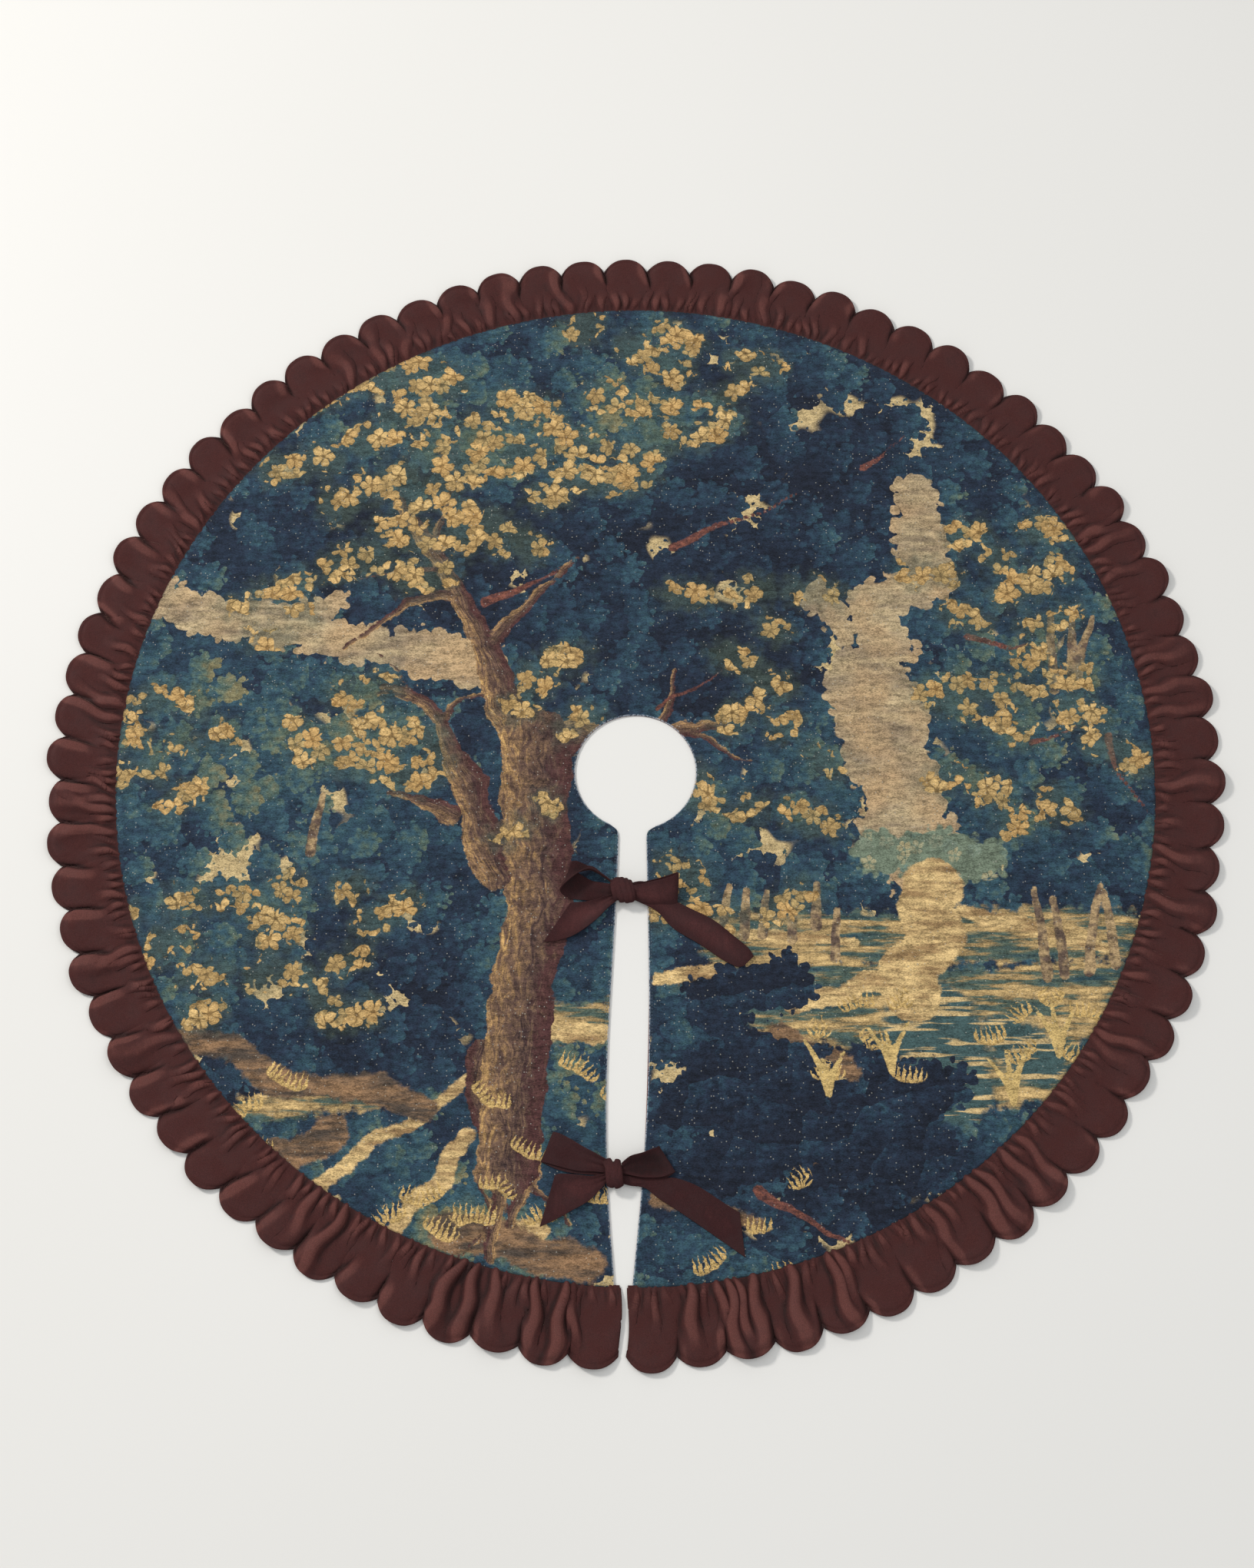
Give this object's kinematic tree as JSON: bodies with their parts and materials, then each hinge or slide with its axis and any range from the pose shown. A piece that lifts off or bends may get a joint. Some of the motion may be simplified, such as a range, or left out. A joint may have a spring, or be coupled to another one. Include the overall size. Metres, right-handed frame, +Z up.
{
  "type": "tree skirt",
  "caption": "Round lined cloth skirt laid round a tree's foot, with a neck hole, a front slit tied by ribbon bows, and a gathered scalloped ruffle.",
  "frame": {"origin": "centre of the neck hole, on the floor plane under the lining", "axes": "+Z up, -Y along the slit from the neck to the hem, +X to the right when seen from the slit's side"},
  "size_m": [1.5296, 1.5297, 0.0215],
  "materials": {
    "printed_face": "brushed cotton velvet printed with a woodland in blue, green and gold, matt and slightly napped",
    "wadding": "thin needled cotton wadding",
    "lining": "plain russet cotton lining",
    "ruffle_velvet": "maroon-brown cotton velvet with a short pile and a soft sheen",
    "ribbon_velvet": "darker maroon velvet ribbon, cut on a slant",
    "thread": "cotton sewing thread"
  },
  "bodies": {
    "skirt": {"face_panel": "printed_face", "wadding": "wadding", "lining": "lining", "ruffle_front_left_1": "ruffle_velvet", "ruffle_front_left_2": "ruffle_velvet", "ruffle_front_left_3": "ruffle_velvet", "ruffle_front_right_1": "ruffle_velvet", "ruffle_front_right_2": "ruffle_velvet", "ruffle_front_right_3": "ruffle_velvet", "ruffle_facing_left_1": "ruffle_velvet", "ruffle_facing_left_2": "ruffle_velvet", "ruffle_facing_left_3": "ruffle_velvet", "ruffle_facing_right_1": "ruffle_velvet", "ruffle_facing_right_2": "ruffle_velvet", "ruffle_facing_right_3": "ruffle_velvet", "topstitching": "thread", "hem_seam_thread": "thread", "upper_knot": "ribbon_velvet", "upper_strap_left": "ribbon_velvet", "upper_strap_right": "ribbon_velvet", "lower_knot": "ribbon_velvet", "lower_strap_left": "ribbon_velvet", "lower_strap_right": "ribbon_velvet"},
    "upper_tail_left": {"upper_tail_left": "ribbon_velvet"},
    "upper_loop_left": {"upper_loop_left": "ribbon_velvet"},
    "upper_tail_right": {"upper_tail_right": "ribbon_velvet"},
    "upper_loop_right": {"upper_loop_right": "ribbon_velvet"},
    "lower_tail_left": {"lower_tail_left": "ribbon_velvet"},
    "lower_loop_left": {"lower_loop_left": "ribbon_velvet"},
    "lower_tail_right": {"lower_tail_right": "ribbon_velvet"},
    "lower_loop_right": {"lower_loop_right": "ribbon_velvet"}
  },
  "joints": [
    {"name": "upper_tail_left_lift", "type": "hinge", "parent": "skirt", "child": "upper_tail_left", "pos_m": [-0.02869, -0.1754, 0.0104], "axis": [-0.5, 0.866, 0], "range_deg": [0, 20]},
    {"name": "upper_loop_left_lift", "type": "hinge", "parent": "skirt", "child": "upper_loop_left", "pos_m": [-0.03067, -0.15941, 0.0134], "axis": [0.2588, 0.9659, 0], "range_deg": [0, 45]},
    {"name": "upper_tail_right_lift", "type": "hinge", "parent": "skirt", "child": "upper_tail_right", "pos_m": [-0.00455, -0.17701, 0.0104], "axis": [-0.5878, -0.809, 0], "range_deg": [0, 20]},
    {"name": "upper_loop_right_lift", "type": "hinge", "parent": "skirt", "child": "upper_loop_right", "pos_m": [-0.00101, -0.16196, 0.0134], "axis": [0.1392, -0.9903, 0], "range_deg": [0, 45]},
    {"name": "lower_tail_left_lift", "type": "hinge", "parent": "skirt", "child": "lower_tail_left", "pos_m": [-0.03559, -0.54511, 0.0104], "axis": [-0.5446, 0.8387, 0], "range_deg": [0, 20]},
    {"name": "lower_loop_left_lift", "type": "hinge", "parent": "skirt", "child": "lower_loop_left", "pos_m": [-0.03748, -0.51856, 0.0134], "axis": [0.3746, 0.9272, 0], "range_deg": [0, 45]},
    {"name": "lower_tail_right_lift", "type": "hinge", "parent": "skirt", "child": "lower_tail_right", "pos_m": [-0.01762, -0.54454, 0.0104], "axis": [-0.515, -0.8572, 0], "range_deg": [0, 20]},
    {"name": "lower_loop_right_lift", "type": "hinge", "parent": "skirt", "child": "lower_loop_right", "pos_m": [-0.01547, -0.52027, 0.0134], "axis": [0.309, -0.9511, 0], "range_deg": [0, 45]}
  ]
}
